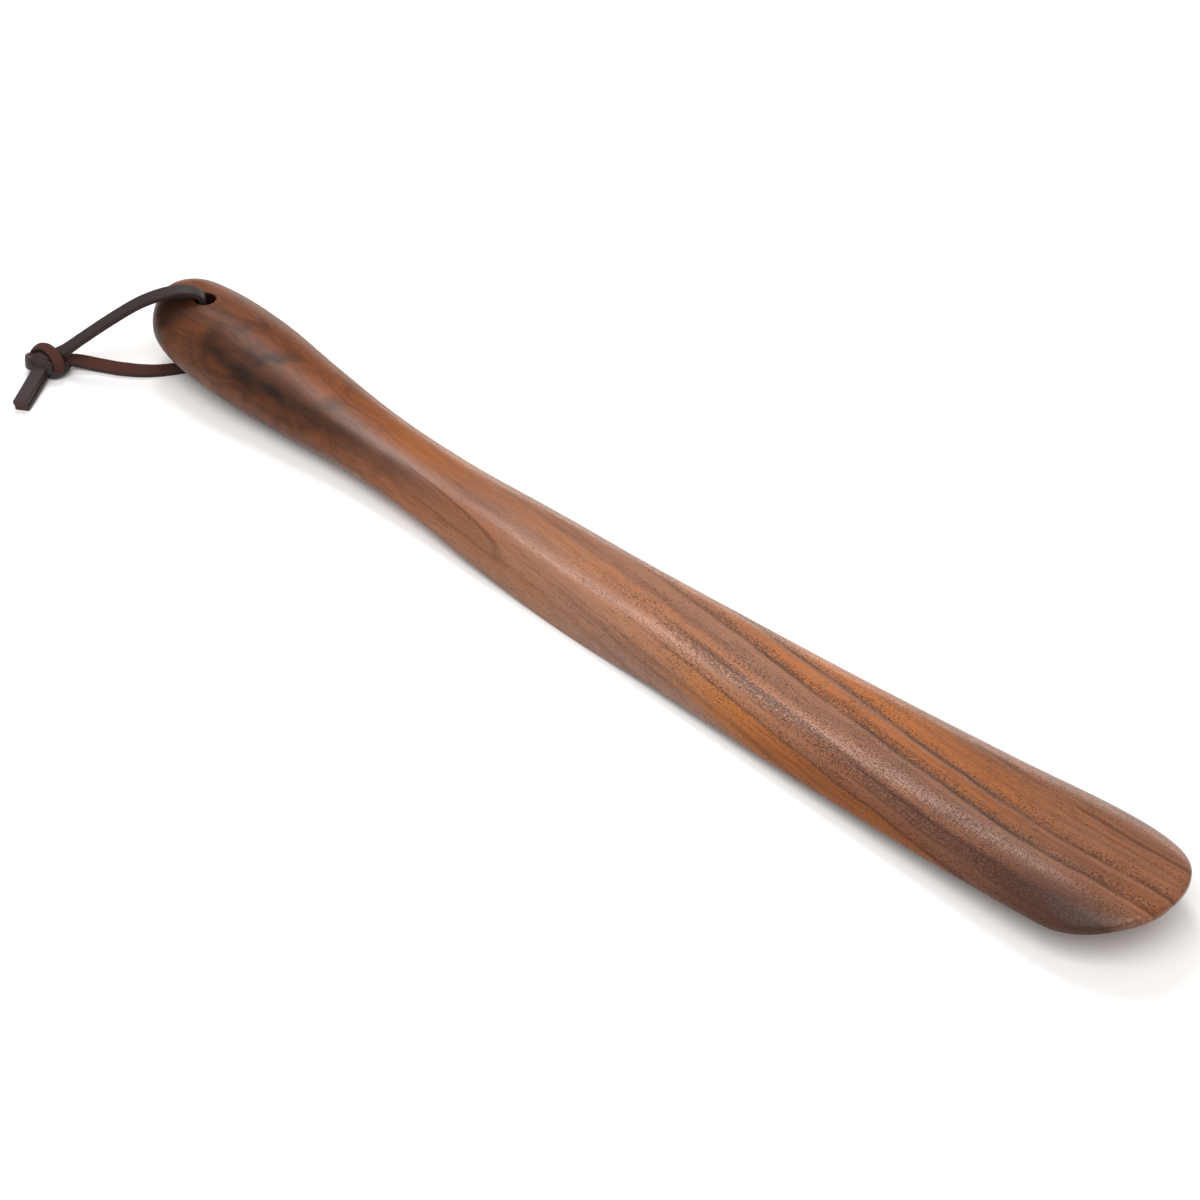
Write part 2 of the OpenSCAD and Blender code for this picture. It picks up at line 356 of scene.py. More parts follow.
def leather():
    """Smooth grain side, fibrous flesh side, darker edges and raw cut ends."""
    g = Graph("lace_leather")
    along, across, side, cut = (g.node("Attribute", 2, _set={"attribute_name": key})
                                for key in ("along", "across", "side", "cut"))
    place = g.xyz(along, across, side)
    fine = g.noise(place, 2.6, 4, 0.6)
    broad = g.noise(g.xyz(g.mul(along, 0.25), g.mul(across, 0.6), side), 0.5, 2, 0.5)
    fibre = g.field((along, 1.2), (across, 7.0), (side, 3.0), detail=3, rough=0.6)
    grain_side = g.mix(broad, GRAIN_DARK, GRAIN_LIGHT)
    grain_side = g.mix(g.mul(fine, 0.5), grain_side, GRAIN_FINE)
    flesh_side = g.mix(broad, FLESH_DARK, FLESH_LIGHT)
    flesh_side = g.mix(g.mul(fibre, 0.5), flesh_side, FLESH_FIBRE)
    on_grain = g.step(side, 0.72, 0.98)
    on_flesh = g.step(side, -0.98, -0.72, 1.0, 0.0)
    colour = g.mix(on_grain, g.mix(fibre, EDGE_DARK, EDGE_LIGHT), grain_side)
    colour = g.mix(on_flesh, colour, flesh_side)
    colour = g.mix(cut, colour, g.mix(fibre, CUT_DARK, CUT_LIGHT))
    no_pore = g.step(g.noise(place, 5.5, 2, 0.5), 0.36, 0.5)
    colour = g.mix(g.mul(g.sub(1.0, no_pore), g.mul(on_grain, 0.35)), colour, LEATHER_PORE)
    rough = g.between(on_flesh, g.mul_add(fine, 0.24, 0.36), 0.86)
    bump = g.bump(g.add(g.mul(fine, 0.5), g.mul(no_pore, 0.4)), 0.35, 0.00018)
    bump = g.bump(fibre, 0.25, 0.00012, bump)
    return g.finish(Base_Color=colour, Roughness=rough, Normal=bump, Specular_IOR_Level=0.22)


# ---------------------------------------------------------------- lace pieces

LEATHER = leather()
IN_HOLE = 10  # the entry of LOOP_ROUTE in the middle of the hole


def add_lace():
    centre, flat = routed(LOOP_ROUTE)
    middle = IN_HOLE * ROUTE_STEPS
    # Both halves run from the middle of the hole outwards; the lower one shows its flesh side.
    upper, upper_flat = centre[:middle + 1][::-1], flat[:middle + 1][::-1]
    lower, lower_flat = centre[middle:], flat[middle:]
    # Between the handle and the knot the upper half tips, and the lower one leans towards the
    # near side and rises off the table. Entries of the route, then degrees or millimetres.
    entry = np.arange(len(upper)) / ROUTE_STEPS
    tip = np.interp(entry, [2.5, 5.0], [0, 15])
    entry = np.arange(len(lower)) / ROUTE_STEPS
    lean = np.interp(entry, [4, 5, 6, 7, 8, 9, 10], [0, 10, 24, 26, 20, 12, 8])
    rise = np.interp(entry, [4, 5, 6, 7, 8], [0, 0.2, 0.65, 0.15, 0])
    a = strip("lace_upper", upper, upper_flat, roll=tip)
    b = strip("lace_lower", lower + np.outer(rise, [0, 0, 1]), lower_flat, roll=lean, turned=True)
    for piece in (a, b):
        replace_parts(lace_piece(piece), "lace_loop")

    for name, route, node, sag in (("lace_tail_upper_end", UPPER_TAIL, "lace_tail_upper", 0.2),
                                   ("lace_tail_lower_end", LOWER_TAIL, "lace_tail_lower", 0.0)):
        c, f = routed(route)
        tail = lace_piece(strip(name, c - [0, 0, sag], f, width=TAIL_W))
        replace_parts(tail, node)

    knot = add_knot()
    # Where the lace leaves the hole, above and below.
    exit_top = from_hole([0.7, 0.0, 25.0]) * MM
    exit_low = from_hole([0.9, 0.0, 4.0]) * MM
    length_of(upper) * MM
    length_of(lower) * MM


# Turns of the knot: width, thickness, whether the flesh side is out, and a route of points
# (out, sideways, up) with the direction that the outer side faces at each.
KNOT_TURNS = {
    "knot_turn_over": (3.6, 1.5, True, [
        [57.4, 0.4, 3.8, 1.0, 0.0, -0.2], [57.1, -1.4, 5.6, 0.8, -0.2, 0.6],
        [55.2, -1.2, 7.4, 0.4, -0.1, 0.9], [52.3, 0.6, 8.3, 0.0, 0.1, 1.0],
        [49.6, 3.6, 7.8, -0.2, 0.5, 0.85], [48.0, 5.9, 6.0, -0.4, 0.85, 0.4],
        [48.3, 6.2, 4.0, -0.3, 0.95, -0.1], [49.6, 4.6, 2.6, 0.0, 0.7, -0.7],
    ]),
    "knot_turn_front": (4.4, 1.6, False, [
        [56.4, -1.6, 3.6, 0.6, -0.8, 0.0], [58.6, 0.8, 4.0, 1.0, 0.0, 0.1],
        [57.6, 3.5, 4.6, 0.6, 0.75, 0.2], [55.4, 4.9, 5.1, 0.1, 0.93, 0.35],
        [53.0, 5.8, 5.0, 0.0, 0.93, 0.35], [50.9, 6.0, 4.4, -0.1, 0.95, 0.2],
        [49.2, 5.0, 3.8, -0.5, 0.8, 0.0],
    ]),
    "knot_turn_back": (2.9, 1.4, False, [
        [53.0, 4.6, 2.3, 0.1, 0.9, -0.4], [50.6, 6.3, 2.2, -0.1, 0.95, 0.0],
        [48.2, 5.9, 2.6, -0.35, 0.9, 0.2], [46.5, 4.2, 3.1, -0.6, 0.7, 0.3],
        [45.9, 2.0, 3.3, -0.8, 0.5, 0.3],
    ]),
}


TURN_CROWN = 0.16  # how far the flat sides of the turns bulge
# The filler inside the turns: middle, half sizes, turn in degrees, and a power that makes it
# squarer than an ellipsoid where it is below 1.
FILLER_MIDDLE, FILLER_SIZE, FILLER_TURN, FILLER_POWER = (52.6, 2.0, 4.8), (5.6, 3.4, 2.9), 20, 0.8
FILLER_ROWS, FILLER_COLUMNS = 14, 20


def knot_filler():
    n, m = FILLER_ROWS, FILLER_COLUMNS

    def squarer(v):
        return np.sign(v) * np.abs(v) ** FILLER_POWER

    b = np.linspace(0, pi, n + 1)[:, None]
    a = np.linspace(0, 2 * pi, m, endpoint=False)[None]
    rx, ry, rz = FILLER_SIZE
    local = np.stack([
        -rx * squarer(np.cos(b)) * np.ones_like(a),
        ry * squarer(np.sin(b)) * squarer(np.cos(a)),
        rz * squarer(np.sin(b)) * squarer(np.sin(a)),
    ], -1).reshape(-1, 3)
    c, s = cos(radians(FILLER_TURN)), sin(radians(FILLER_TURN))
    local = local @ np.array([[c, s, 0], [-s, c, 0], [0, 0, 1]]) + FILLER_MIDDLE
    faces = [(i * m + j, (i + 1) * m + j, (i + 1) * m + (j + 1) % m, i * m + (j + 1) % m)
             for i in range(n) for j in range(m)]
    zero = np.zeros(len(local))
    return mesh_object("knot_core", from_hole(local), faces,
                       along=local[:, 0], across=local[:, 1], side=zero, cut=zero)


def add_knot():
    """Overhand knot: the turn over its top, the turn in front of the tails, the end of it
    that goes back under the strands, and a filler between them."""
    pieces = []
    for name, (width, thick, turned, route) in KNOT_TURNS.items():
        path = traced(route, ROUTE_STEPS)
        centre, out = path[:, :3], unit(path[:, 3:])
        ahead = unit(np.gradient(centre, axis=0))
        points = from_hole(centre)
        flat = from_hole(centre + np.cross(out, ahead)) - points
        turn = strip(name, points, flat, width, thick, crown=TURN_CROWN, turned=turned)
        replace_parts(turn, "lace_knot_wrap")
        pieces.append(lace_piece(turn))
    core = knot_filler()
    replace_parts(core, "lace_knot_core")
    pieces.append(lace_piece(core))
    return pieces


add_lace()


# ---------------------------------------------------------------- body shape

HANDLE_W, HANDLE_H, NECK_W, NECK_H = 35.6, 23.0, 26.8, 12.6
BLADE_W, BLADE_T, TIP_T, ARCH = 45.4, 5.2, 4.1, 6.8
HANDLE_ROUND, TIP_ROUND, TIP_EDGE = 11.0, 24.0, 3.0
ARCH_POWER, HANDLE_POWER, TIP_POWER = 4.0, 2.2, 2.3
HOLE_R, HOLE_SOFT = 3.25, 0.6
# Share of the length, width, middle height, thickness, edge drop, upper and lower squareness.
SECTIONS = np.array([
    [0.00, 0.55 * HANDLE_W, 17.1, 0.93 * HANDLE_H, 0.0, 2.0, 2.0],
    [0.04, 0.91 * HANDLE_W, 14.9, 0.98 * HANDLE_H, 0.0, 2.0, 2.0],
    [0.10, 1.00 * HANDLE_W, 12.6, 1.00 * HANDLE_H, 0.0, 2.0, 2.0],
    [0.17, 0.88 * HANDLE_W, 9.9, 0.85 * HANDLE_H, 0.0, 2.1, 2.0],
    [0.25, 1.00 * NECK_W, 8.0, 1.14 * NECK_H, 0.0, 2.2, 2.0],
    [0.33, 1.03 * NECK_W, 7.1, 1.01 * NECK_H, 0.15 * ARCH, 2.1, 1.8],
    [0.41, 0.695 * BLADE_W, 7.1, 2.50 * BLADE_T, 0.54 * ARCH, 2.4, 1.9],
    [0.50, 0.75 * BLADE_W, 7.2, 2.27 * BLADE_T, 0.87 * ARCH, 3.6, 2.3],
    [0.60, 0.81 * BLADE_W, 9.4, 1.50 * BLADE_T, 0.92 * ARCH, 3.7, 2.7],
    [0.72, 0.895 * BLADE_W, 11.5, 1.00 * BLADE_T, 0.99 * ARCH, 3.6, 3.1],
    [0.84, 0.97 * BLADE_W, 13.8, 1.07 * TIP_T, 0.98 * ARCH, 3.5, 3.3],
    [0.94, 1.00 * BLADE_W, 15.8, 1.12 * TIP_T, 0.86 * ARCH, 3.6, 3.4],
    [1.00, 0.91 * BLADE_W, 15.8, 1.00 * TIP_T, 0.84 * ARCH, 3.6, 3.4],
])


def smooth_column(k, s):
    """Smooth value of one column of the sections at shares s of the length."""
    s = np.asarray(s, float)
    xs, ys = SECTIONS[:, 0], SECTIONS[:, k]
    rise = np.diff(ys) / np.diff(xs)
    slope = np.concatenate([rise[:1], (rise[:-1] + rise[1:]) / 2, rise[-1:]])
    i = np.clip(np.searchsorted(xs, s, side="right") - 1, 0, len(xs) - 2)
    span = xs[i + 1] - xs[i]
    t = (s - xs[i]) / span
    return ((2 * t**3 - 3 * t**2 + 1) * ys[i] + (t**3 - 2 * t**2 + t) * span * slope[i]
            + (3 * t**2 - 2 * t**3) * ys[i + 1] + (t**3 - t**2) * span * slope[i + 1])


def shares(x):
    """Shares of the full width and thickness left at distances x from the handle end."""
    x = np.asarray(x, float)
    h = np.clip((HANDLE_ROUND - x) / HANDLE_ROUND, 0, 1)
    b = np.clip((x - LENGTH + TIP_ROUND) / TIP_ROUND, 0, 1)
    e = np.clip((x - LENGTH + TIP_EDGE) / TIP_EDGE, 0, 1)
    wide = ((1 - h**HANDLE_POWER) ** (1 / HANDLE_POWER)
            * (1 - b**TIP_POWER) ** (1 / TIP_POWER))
    return wide, np.sqrt(1 - h**2) * np.sqrt(1 - e**2)


def section_at(x):
    """Half width, share of it left, middle height, half thickness, edge drop, upper and lower
    squareness at distances x from the handle end."""
    s = np.asarray(x, float) / LENGTH
    wide, thick = shares(x)
    return (smooth_column(1, s) / 2, wide, smooth_column(2, s),
            smooth_column(3, s) / 2 * thick, smooth_column(4, s),
            smooth_column(5, s), smooth_column(6, s))


def height(x, y, top):
    """Height of the upper or lower surface over points x, y."""
    half_w, wide, mid, half_t, drop, upper, lower = section_at(x)
    across = np.abs(y) / half_w
    n = upper if top else lower
    c = np.clip(across / wide, 0, 1) ** (n / 2)
    rise = np.sqrt(np.clip(1 - c**2, 0, 1)) ** (2 / n)
    return mid - drop * across**ARCH_POWER + (half_t if top else -half_t) * rise


QUARTER = 30  # points in a quarter of a section
FINE_POINTS = 700  # points in a quarter, from which those are chosen
TURN_SHARE = 1.1  # how much their spacing goes by turn, against 1 by length
BODY_STEP, HANDLE_STEP, TIP_STEP = 1.25, 2.5, 1.6  # mm, then degrees round the two ends
TIP_LAST = 88.6  # degrees: past this the end cap closes the tip
OPENING_X, OPENING_Y = 7.2, 7.0  # half sizes of the squares left open for the hole
RIM_RINGS, WALL_RINGS = 5, 12  # steps from an opening to the hole, and down its wall
SOFT_TURN = 15  # degrees between the rings of the hole's soft edge


def section_ring(x):
    """Points of one section, spaced by length and by turn so that the edges stay round."""
    half_w, wide, mid, half_t, drop, upper, lower = [float(v) for v in section_at(x)]
    a = pi / 4 * (1 - np.cos(np.linspace(0, pi, FINE_POINTS)))
    half = []
    for n, way in ((upper, 1), (lower, -1)):
        across = wide * np.cos(a) ** (2 / n)
        across[-1] = 0
        y, z = half_w * across, -drop * across**ARCH_POWER + way * half_t * np.sin(a) ** (2 / n)
        dy, dz = np.diff(y), np.diff(z)
        ds = np.hypot(dy, dz)
        turn = np.abs(np.diff(np.unwrap(np.arctan2(dz, dy))))
        turn = np.concatenate([[0], turn])
        w = ds / ds.sum() + TURN_SHARE * turn / max(turn.sum(), 1e-9)
        w = np.concatenate([[0], np.cumsum(w)])
        want = np.linspace(0, w[-1], QUARTER + 1)
        half.append(np.stack([np.interp(want, w, y), np.interp(want, w, z)], -1))
    top, low = half
    flip = np.array([-1, 1])
    ring = np.vstack([top[:-1], (top[::-1] * flip)[:-1], (low * flip)[:-1], low[::-1][:-1]])
    return np.column_stack([np.full(len(ring), x), ring[:, 0], mid + ring[:, 1]])


def stations():
    """Distances of the sections from the handle end."""
    return np.concatenate([
        HANDLE_ROUND * (1 - np.cos(np.radians(np.arange(HANDLE_STEP, 90, HANDLE_STEP)))),
        np.arange(HANDLE_ROUND, LENGTH - TIP_ROUND, BODY_STEP),
        LENGTH - TIP_ROUND * (1 - np.sin(np.radians(np.arange(0, TIP_LAST, TIP_STEP)))),
    ])


class Surface:
    """A mesh that starts as a grid of sections and grows ring by ring."""

    def __init__(self, grid):
        self.rows, self.columns = grid.shape[:2]
        self.points = grid.reshape(-1, 3)
        self.faces = []

    def at(self, i, j):
        """Number of point j of section i."""
        return i * self.columns + j % self.columns

    def add(self, block):
        """Adds points and gives their numbers."""
        first = len(self.points)
        self.points = np.vstack([self.points, block])
        return list(range(first, len(self.points)))

    def bridge(self, one, other, flip=False):
        """Adds the faces between two rings of as many points."""
        m = len(one)
        for k in range(m):
            face = (one[k], other[k], other[(k + 1) % m], one[(k + 1) % m])
            self.faces.append(face[::-1] if flip else face)

    def outline(self, i0, i1, j0, j1):
        """Grid points round a square opening."""
        step = 1 if j1 > j0 else -1
        return ([self.at(i, j0) for i in range(i0, i1)]
                + [self.at(i1, j) for j in range(j0, j1, step)]
                + [self.at(i, j1) for i in range(i1, i0, -1)]
                + [self.at(i0, j) for j in range(j1, j0, -step)])


def hole_mouth(body, outer, is_top):
    """Rings from the outline of an opening in to the hole and over its soft edge."""
    p = body.points[outer]
    dx, dy = p[:, 0] - HOLE_X, p[:, 1]
    angle, far = np.arctan2(dy, dx), np.hypot(dx, dy)
    soft = HOLE_R + HOLE_SOFT * (1 - np.cos(np.radians(np.arange(0, 91, SOFT_TURN))))
    radii = [soft[-1] + (far - soft[-1]) * k / RIM_RINGS for k in range(RIM_RINGS - 1, 0, -1)]
    radii += [np.full(len(far), r) for r in soft[::-1]]
    previous = outer
    for r in radii:
        x, y = HOLE_X + r * np.cos(angle), r * np.sin(angle)
        cut = np.clip(HOLE_R + HOLE_SOFT - r, 0, HOLE_SOFT)
        sink = HOLE_SOFT - np.sqrt(HOLE_SOFT**2 - cut**2)
        z = height(x, y, is_top) + (-sink if is_top else sink)
        ring = body.add(np.column_stack([x, y, z]))
        body.bridge(previous, ring, flip=not is_top)
        previous = ring
    return previous


def hole_wall(body, above, below):
    """The round wall of the hole, from its upper mouth to its lower one."""
    previous = above
    for k in range(1, WALL_RINGS):
        t = k / WALL_RINGS
        block = body.points[above] * (1 - t) + body.points[below] * t
        spin = np.arctan2(block[:, 1], block[:, 0] - HOLE_X)
        block[:, 0], block[:, 1] = HOLE_X + HOLE_R * np.cos(spin), HOLE_R * np.sin(spin)
        ring = body.add(block)
        body.bridge(previous, ring)
        previous = ring
    body.bridge(previous, below)


def body_mesh():
    xs = stations()
    grid = np.stack([section_ring(x) for x in xs])
    body = Surface(grid)
    rows, n, at = body.rows, body.columns, body.at

    # Square openings in the grid where the hole comes out, above and below.
    i0, i1 = np.searchsorted(xs, [HOLE_X - OPENING_X, HOLE_X + OPENING_X])
    half = int(np.argmin(np.abs(grid[(i0 + i1) // 2, :QUARTER + 1, 1] - OPENING_Y)))
    reach = QUARTER - half
    top, low = (QUARTER - reach, QUARTER + reach), (3 * QUARTER - reach, 3 * QUARTER + reach)

    def is_open(i, j):
        return i0 <= i < i1 and (top[0] <= j < top[1] or low[0] <= j < low[1])

    body.faces += [(at(i, j), at(i, j + 1), at(i + 1, j + 1), at(i + 1, j))
                   for i in range(rows - 1) for j in range(n) if not is_open(i, j)]
    above = hole_mouth(body, body.outline(i0, i1, *top), True)
    below = hole_mouth(body, body.outline(i0, i1, *low[::-1]), False)
    hole_wall(body, above, below)

    start = body.add([[0.0, 0.0, SECTIONS[0][2]]])[0]
    end = body.add([[LENGTH, 0.0, SECTIONS[-1][2]]])[0]
    body.faces += [(start, at(0, j + 1), at(0, j)) for j in range(n)]
    body.faces += [(end, at(rows - 1, j), at(rows - 1, j + 1)) for j in range(n)]
    return body.points - [LENGTH / 2, 0.0, grid[..., 2].min()], body.faces


# ---------------------------------------------------------------- walnut

# Colours of the wood, before it is deepened along its length, and painted shade colours for the
# brown patches, the blade's near edge, the tip and the hole.
ROSY, ORANGE = rgb(154, 109, 86), rgb(186, 112, 58)
WEAK_LINE, STRONG_LINE = rgb(98, 58, 40), rgb(62, 37, 30)
FIBRE_DARK, FIBRE_LIGHT = rgb(94, 56, 40), rgb(204, 140, 92)
BURR_DARK, BURR_LIGHT = rgb(92, 52, 36), rgb(196, 122, 72)
FIGURE_AND_SHADE_BROWN, FIGURE_BLACK, LOOP_BROWN = rgb(98, 52, 30), rgb(50, 33, 25), rgb(70, 42, 34)
EDGE_SHADE, TIP_SHADE = rgb(84, 48, 32), rgb(48, 32, 30)
HOLE_GRAIN_AND_SHADE, PORE_BLACK = rgb(26, 16, 12), rgb(52, 27, 16)
# Painted light: tints that multiply the wood's colour, a warm light tint on the handle, a cool
# light tint on the near flank, and painted shade there too.
PAINTED_WARM_LIGHT = rgb(255, 228, 160)
PAINTED_COOL_LIGHT, SHADE_TINT = (0.94, 1.06, 1.2, 1.0), (0.55, 0.58, 0.64, 1.0)

# How far the grain drifts across the board, by share of the length: 0.5 is no drift, and 0.1
# is DRIFT_MM / 10.
DRIFT_MM = 60.0
DRIFT = [(0.0, 0.86), (0.15, 0.87), (0.25, 0.84), (0.35, 0.76), (0.45, 0.69), (0.55, 0.617),
         (0.663, 0.537), (0.753, 0.467), (0.83, 0.40), (0.91, 0.362), (0.96, 0.362), (1.0, 0.37)]
# How light the wood is, by share of the length.
LIGHTNESS = [(0.0, 0.33), (0.10, 0.30), (0.20, 0.38), (0.30, 0.60), (0.42, 0.82), (0.55, 0.96),
             (0.65, 0.95), (0.77, 0.80), (0.90, 0.66), (1.0, 0.68)]
# Strong lines: place across the grain, softness above and below it in mm, strength.
LINES = [
    (0.0, 1.3, 0.6, 1.0), (6.8, 1.2, 0.6, 0.8), (18.5, 1.6, 1.0, 0.75), (-10.8, 0.8, 1.0, 0.8),
    (-14.2, 0.7, 0.8, 0.6), (-18.0, 0.9, 0.7, 0.7), (-23.5, 1.6, 1.0, 0.7),
    (26.0, 1.4, 1.0, 0.6), (12.3, 1.0, 0.8, 0.3), (-5.0, 1.4, 1.4, 0.2), (-29.0, 1.4, 1.0, 0.6),
]
# Patches on the handle: x, y, half length and half width in mm, turn in degrees, softness and
# strength. The brown ones lie under the near-black ones and are partly darker figure, partly
# painted shade along the near flank.
BROWN_FIGURE_AND_SHADE_PATCHES = [
    (62.0, -10.6, 36.0, 4.0, 3, 0.9, 0.5), (92.0, -8.8, 22.0, 3.4, 2, 0.9, 0.6),
    (16.0, -9.5, 7.0, 6.0, 30, 1.0, 0.6),
]
BLACK_PATCHES = [
    (14.5, -10.0, 6.4, 4.4, 50, 0.8, 0.97), (35.5, -9.5, 5.5, 3.4, -35, 0.9, 0.85),
    (41.0, -12.6, 6.0, 2.4, -10, 0.9, 0.85), (51.5, -12.8, 9.0, 2.8, 2, 0.9, 0.9),
    (64.5, -11.4, 8.5, 1.9, 0, 0.9, 1.0), (66.0, -10.6, 15.0, 3.2, 2, 0.9, 0.5),
    (80.0, -9.4, 16.0, 2.3, 5, 0.9, 0.75), (97.0, -9.6, 16.0, 2.4, 0, 1.0, 0.35),
    (56.5, -3.2, 7.0, 1.7, 55, 0.9, 0.85), (50.0, -7.2, 6.0, 1.8, 10, 0.9, 0.65),
    (39.5, 0.5, 7.0, 2.2, 62, 1.0, 0.5), (82.5, -4.0, 6.5, 3.2, 30, 1.0, 0.65),
    (70.0, -7.6, 9.0, 1.8, 0, 1.0, 0.4),
]
# Bands across the grain where pores crowd: from, to, how much.
PORE_BANDS = [(-8.5, -3.0, 0.07), (-13.8, -9.4, 0.15), (-18.6, -15.5, 0.06)]
# The loop of the grain low on the near side of the neck: middle, half sizes, slant.
LOOP_X, LOOP_Y, LOOP_LONG, LOOP_WIDE, LOOP_SLANT = 136.0, -10.4, 30, 3.6, 0.13


class Walnut(Graph):
    """Walnut painted by place: x from the handle end, y across and z up in mm, lat across the
    grain, handle from 1 on the handle to 0 on the blade, upper from 1 on the top side to 0."""

    def __init__(self):
        super().__init__("walnut")
        where = self.node("TexCoord", 3)
        mm = self.node("VectorMath", _set={"operation": "SCALE"}, i0=where, Scale=1 / MM)
        self.x = self.add(self.node("SeparateXYZ", 0, Vector=mm), LENGTH / 2)
        self.y = self.node("SeparateXYZ", 1, Vector=mm)
        self.z = self.node("SeparateXYZ", 2, Vector=mm)
        self.share = self.mul(self.x, 1 / LENGTH)
        self.handle = self.sub(1.0, self.step(self.x, 70, 150))
        self.upper = self.step(self.z, 6.0, 13.0)
        self.lat = self.grain()
        self.fibre = self.field((self.x, 0.09), (self.lat, 2.3), (self.z, 1.8), detail=4,
                                rough=0.65)
        self.bent_x, self.bent_y = self.bent(5.0, 9.0, self.x), self.bent(9.0, 4.5, self.y)

    def bent(self, seed, much, value):
        """value moved by noise, by up to half of much."""
        noise = self.field((self.x, 0.10), (self.y, 0.16), seed, rough=0.4)
        return self.mul_add(self.sub(noise, 0.5), much, value)

    def grain(self):
        """Place across the grain, which runs lengthwise, drifts and waves."""
        drift = self.mul_add(self.curve(self.share, DRIFT), DRIFT_MM, -DRIFT_MM / 2)
        slow = self.field((self.x, 0.012), (self.y, 0.025), (self.z, 0.025), detail=1)
        wave = self.field((self.x, 0.06), (self.y, 0.10), (self.z, 0.10))
        swirl = self.field((self.x, 0.04), (self.y, 0.09), (self.z, 0.09), distortion=0.3)
        lat = self.sub(self.y, drift)
        lat = self.mul_add(self.sub(self.z, 15.5), 0.45, lat)
        lat = self.mul_add(self.sub(slow, 0.5), 4.0, lat)
        lat = self.mul_add(self.sub(wave, 0.5), 1.5, lat)
        return self.mul_add(self.sub(swirl, 0.5), self.mul(self.handle, 16.0), lat)

    def stripe(self, centre, above, below, strength):
        """A dark line, soft above and below by those millimetres."""
        rising = self.step(self.lat, centre - below, centre)
        falling = self.step(self.lat, centre, centre + above, strength, 0.0)
        return self.mul(rising, falling)

    def band(self, low, high, soft, much):
        return self.mul(self.step(self.lat, low - soft, low + soft, 0.0, much),
                        self.step(self.lat, high - soft, high + soft, 1.0, 0.0))

    def patch(self, x, y, long_, wide, turn, soft, strength):
        """Oval patch, soft-edged, its place bent so that it has no plain outline."""
        c, s = cos(radians(turn)), sin(radians(turn))
        dx, dy = self.sub(self.bent_x, x), self.sub(self.bent_y, y)
        u = self.mul(self.add(self.mul(dx, c), self.mul(dy, s)), 1 / long_)
        v = self.mul(self.add(self.mul(dx, -s), self.mul(dy, c)), 1 / wide)
        return self.step(self.length(u, v), 1 - soft, 1 + soft, strength, 0.0)

    def plain(self):
        """Orange wood between the strong lines of the blade, along its edge and on the neck,
        rosier wood beside them."""
        tone = self.field((self.lat, 0.085), (self.x, 0.012), (self.z, 0.03))
        heart = self.add(self.band(0.8, 5.6, 0.8, 0.75),
                         self.add(self.band(7.6, 16.0, 1.2, 0.6),
                                  self.band(-25.0, -18.5, 1.2, 0.9)))
        along = self.mul(self.step(self.x, 215, 275, 0.15, 1.0),
                         self.step(self.x, 330, 362, 1.0, 0.2))
        neck = self.mul(self.step(self.x, 110, 165, 0.9, 0.0), self.step(self.y, -6, 1))
        heart = self.largest([self.mul(heart, along), neck])
        return self.mix(self.add(heart, self.step(tone, 0.40, 0.64, 0.0, 0.4)), ROSY, ORANGE)

    def lined(self, colour):
        """Weak lines, fibres, blotches where the handle is cut through a burr, strong lines."""
        weak = self.field((self.lat, 0.42), (self.x, 0.008), (self.z, 0.02), detail=3, rough=0.62)
        much = self.mul_add(self.handle, 0.20, 0.36)
        colour = self.mix(self.mul(self.step(weak, 0.46, 0.70), much), colour, WEAK_LINE)

        much = self.mul_add(self.handle, 0.06, 0.44)
        dark, light = self.step(self.fibre, 0.42, 0.74), self.step(self.fibre, 0.42, 0.20)
        colour = self.mix(self.mul(dark, much), colour, FIBRE_DARK)
        colour = self.mix(self.mul(light, much), colour, FIBRE_LIGHT)

        blotch = self.field((self.x, 0.085), (self.y, 0.13), (self.z, 0.11), detail=3,
                            distortion=0.25)
        dark, light = self.step(blotch, 0.46, 0.72), self.step(blotch, 0.46, 0.28)
        colour = self.mix(self.mul(dark, self.mul(self.handle, 0.45)), colour, BURR_DARK)
        colour = self.mix(self.mul(light, self.mul(self.handle, 0.4)), colour, BURR_LIGHT)

        # Each strong line fades in and out along its length, and all fade towards the handle.
        strong = self.largest(self.stripe(*line) for line in LINES)
        broken = self.field((self.x, 0.03), (self.lat, 0.30), 3.0)
        strong = self.mul(strong, self.step(broken, 0.34, 0.58, 0.12, 1.0))
        strong = self.mul(strong, self.mul_add(self.step(self.x, 190, 275), 0.7, 0.3))
        return self.mix(self.mul(strong, 0.78), colour, STRONG_LINE)

    def figured_and_shaded(self, colour):
        """Brown patches on top of the handle, partly figure and partly painted shade along its
        near flank, near-black figure over them, a looser one under it and on its far side, and
        the loop of the grain on the neck."""
        brown = self.largest(self.patch(*p) for p in BROWN_FIGURE_AND_SHADE_PATCHES)
        black = self.largest(self.patch(*p) for p in BLACK_PATCHES)
        streaky = self.field((self.x, 0.06), (self.bent_y, 0.55), (self.z, 0.2), detail=3,
                             rough=0.6)
        black = self.mul(self.mul(black, self.upper), self.step(streaky, 0.30, 0.60, 0.68, 1.0))
        smoke = self.field((self.x, 0.05), (self.lat, 0.16), (self.z, 0.08), detail=4, rough=0.6,
                           distortion=0.4)
        smoke = self.mul(self.step(smoke, 0.58, 0.74, 0.0, 0.6),
                         self.mul(self.handle, self.sub(1.0, self.upper)))
        # Brown: partly darker figure, partly painted shade along the near flank of the handle.
        colour = self.mix(self.mul(brown, self.upper), colour, FIGURE_AND_SHADE_BROWN)
        colour = self.mix(self.largest([black, smoke]), colour, FIGURE_BLACK)

